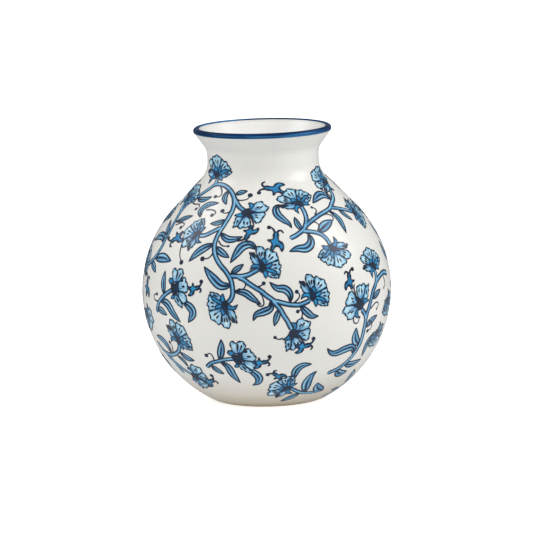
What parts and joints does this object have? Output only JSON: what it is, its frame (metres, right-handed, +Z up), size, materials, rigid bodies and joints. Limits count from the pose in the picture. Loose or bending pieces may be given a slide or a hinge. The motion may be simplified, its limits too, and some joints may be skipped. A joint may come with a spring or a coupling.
{
  "type": "pottery vase",
  "caption": "Round-bellied glazed vase with a short flared neck, a rolled coloured lip and a trimmed foot ring.",
  "frame": {"origin": "centre of the foot ring's underside, on the surface that the vase stands on", "axes": "+Z up along the axis of turning; the main spray of the decoration faces -Y"},
  "size_m": [0.1844, 0.1844, 0.203],
  "materials": {
    "cobalt_glaze": "gloss",
    "biscuit": "matte",
    "bare_clay": "matte",
    "white_glaze": "gloss",
    "lining_glaze": "gloss"
  },
  "bodies": {
    "root": {"rim_lip": "cobalt_glaze", "neck_collar": "biscuit", "upper_bowl": "biscuit", "lower_bowl": "biscuit", "base_slab": "biscuit", "foot_ring": "bare_clay", "outer_glaze": "white_glaze", "inner_glaze": "lining_glaze"}
  },
  "joints": []
}
